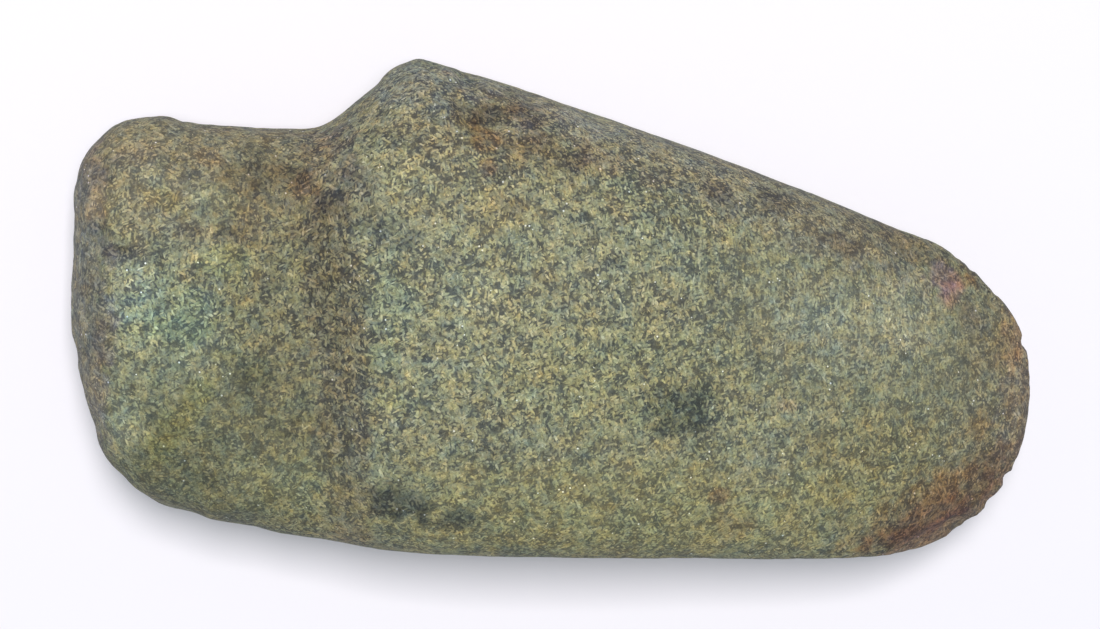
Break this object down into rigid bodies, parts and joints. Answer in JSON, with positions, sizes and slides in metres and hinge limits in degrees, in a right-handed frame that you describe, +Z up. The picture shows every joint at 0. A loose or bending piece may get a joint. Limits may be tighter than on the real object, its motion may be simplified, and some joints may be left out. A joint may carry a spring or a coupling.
{
  "type": "grooved stone axe head",
  "caption": "Ground stone axe head: blunt poll, haft groove round the outer edge and both faces, raised shoulder, flat inner edge and a rounded cutting edge.",
  "frame": {"origin": "under the middle of the head's box, on the plane it lies on", "axes": "+X towards the cutting edge, +Y towards the grooved outer edge, +Z up, out of the broad face that is shown; the head lies on its back"},
  "size_m": [0.168, 0.0844, 0.0509],
  "materials": {
    "speckled_stone": "satin"
  },
  "bodies": {
    "root": {"axe_head": "speckled_stone"}
  },
  "joints": []
}
